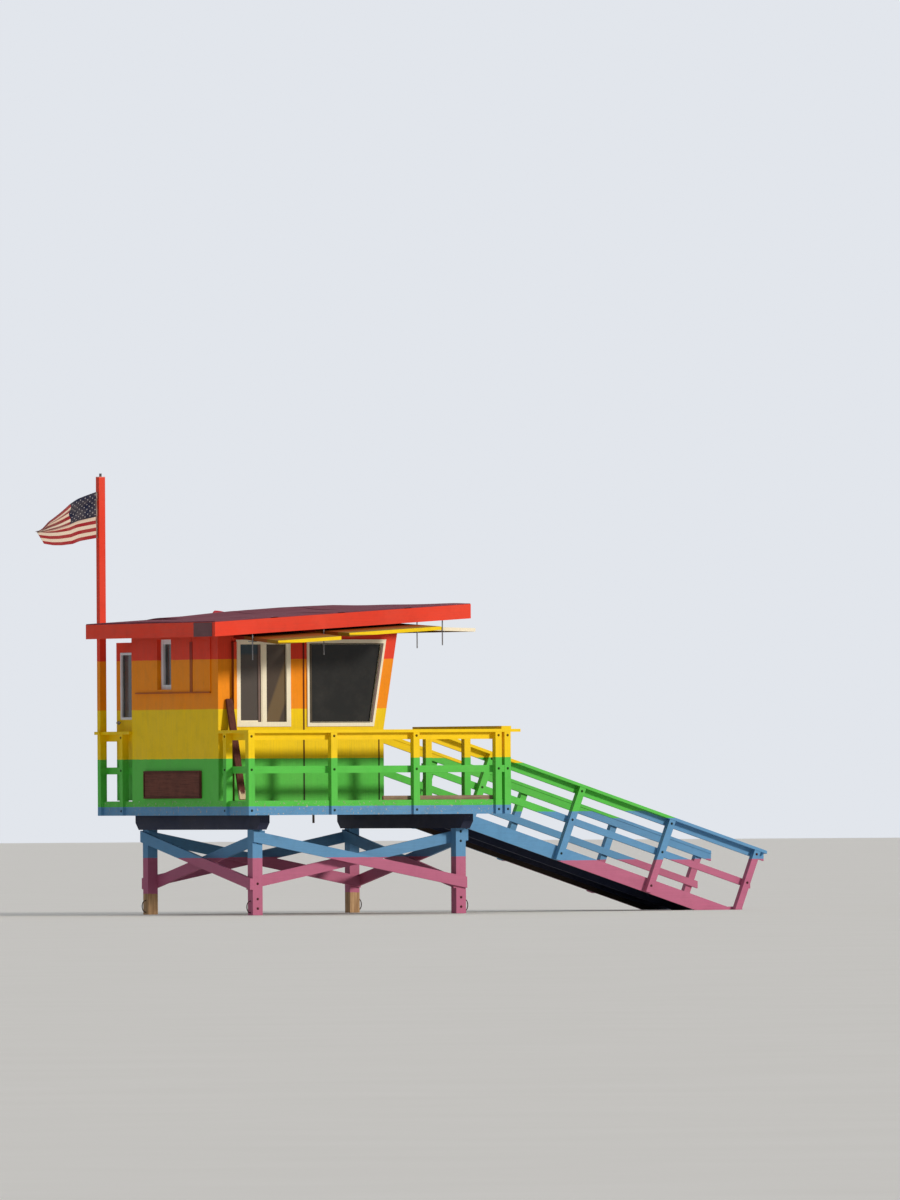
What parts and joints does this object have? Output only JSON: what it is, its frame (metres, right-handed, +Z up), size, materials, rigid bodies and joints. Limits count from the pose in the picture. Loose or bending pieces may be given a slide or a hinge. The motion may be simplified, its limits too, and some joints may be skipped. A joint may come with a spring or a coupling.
{
  "type": "lifeguard tower",
  "caption": "Timber beach lifeguard tower on braced legs: railed deck, plywood cabin with raised awning shutters, single-pitch roof, flagpole and a long railed ramp.",
  "frame": {"origin": "middle of the tower's overall footprint, on the sand", "axes": "+Z up, +X from the rear wall towards the ramp's foot, +Y towards the door and flagpole side"},
  "size_m": [9.522, 4.9216, 5.677],
  "materials": {
    "paint_purple": "satin",
    "paint_blue": "satin",
    "paint_green": "satin",
    "paint_yellow": "satin",
    "paint_red": "satin",
    "roofing": "matte",
    "paint_cream": "satin",
    "glazing": "gloss",
    "steel": "satin",
    "cloth": "matte",
    "bare_wood": "matte"
  },
  "bodies": {
    "tower": {"legs": "paint_purple", "beams": "paint_blue", "end_braces": "paint_purple", "side_braces": "paint_purple", "rim_ends": "paint_blue", "rim_sides": "paint_blue", "joists": "paint_blue", "deck_floor": "paint_blue", "deck_posts": "paint_green", "rails_sides": "paint_green", "rails_ends": "paint_green", "caps_sides": "paint_yellow", "caps_ends": "paint_yellow", "rear_wall": "paint_yellow", "right_wall_rear": "paint_yellow", "right_wall_middle": "paint_yellow", "right_wall_front": "paint_yellow", "left_wall_jamb": "paint_yellow", "left_wall_lintel": "paint_red", "left_wall_front": "paint_yellow", "front_wall_lower": "paint_green", "front_wall_upper": "paint_yellow", "window_frames_right": "paint_cream", "window_frames_front": "paint_cream", "window_frame_left": "paint_cream", "window_frame_rear": "paint_cream", "glass_right": "glazing", "glass_front": "glazing", "glass_left": "glazing", "glass_rear": "glazing", "rear_hatches": "paint_red", "rear_ledge": "paint_yellow", "roof_panel": "roofing", "fascia_ends": "paint_red", "fascia_sides": "paint_red", "rafters": "paint_red", "shutters_right": "paint_red", "shutter_left": "paint_red", "shutter_front": "paint_red", "shutter_rods": "steel", "jamb_plates": "steel", "flagpole": "paint_red", "flag": "cloth", "ramp_stringers": "paint_blue", "ramp_deck": "paint_blue", "ramp_bearers": "paint_blue", "ramp_posts": "paint_green", "ramp_rails": "paint_green", "ramp_caps": "paint_yellow", "loose_board": "bare_wood"},
    "door": {"door_leaf": "paint_yellow", "door_window_frame": "paint_cream", "door_glass": "glazing", "door_hardware": "steel"}
  },
  "joints": [
    {"name": "door_hinge", "type": "hinge", "parent": "tower", "child": "door", "pos_m": [-3.7185, 1.226, 2.48], "axis": [0, 0, 1], "range_deg": [-90, 0]}
  ]
}
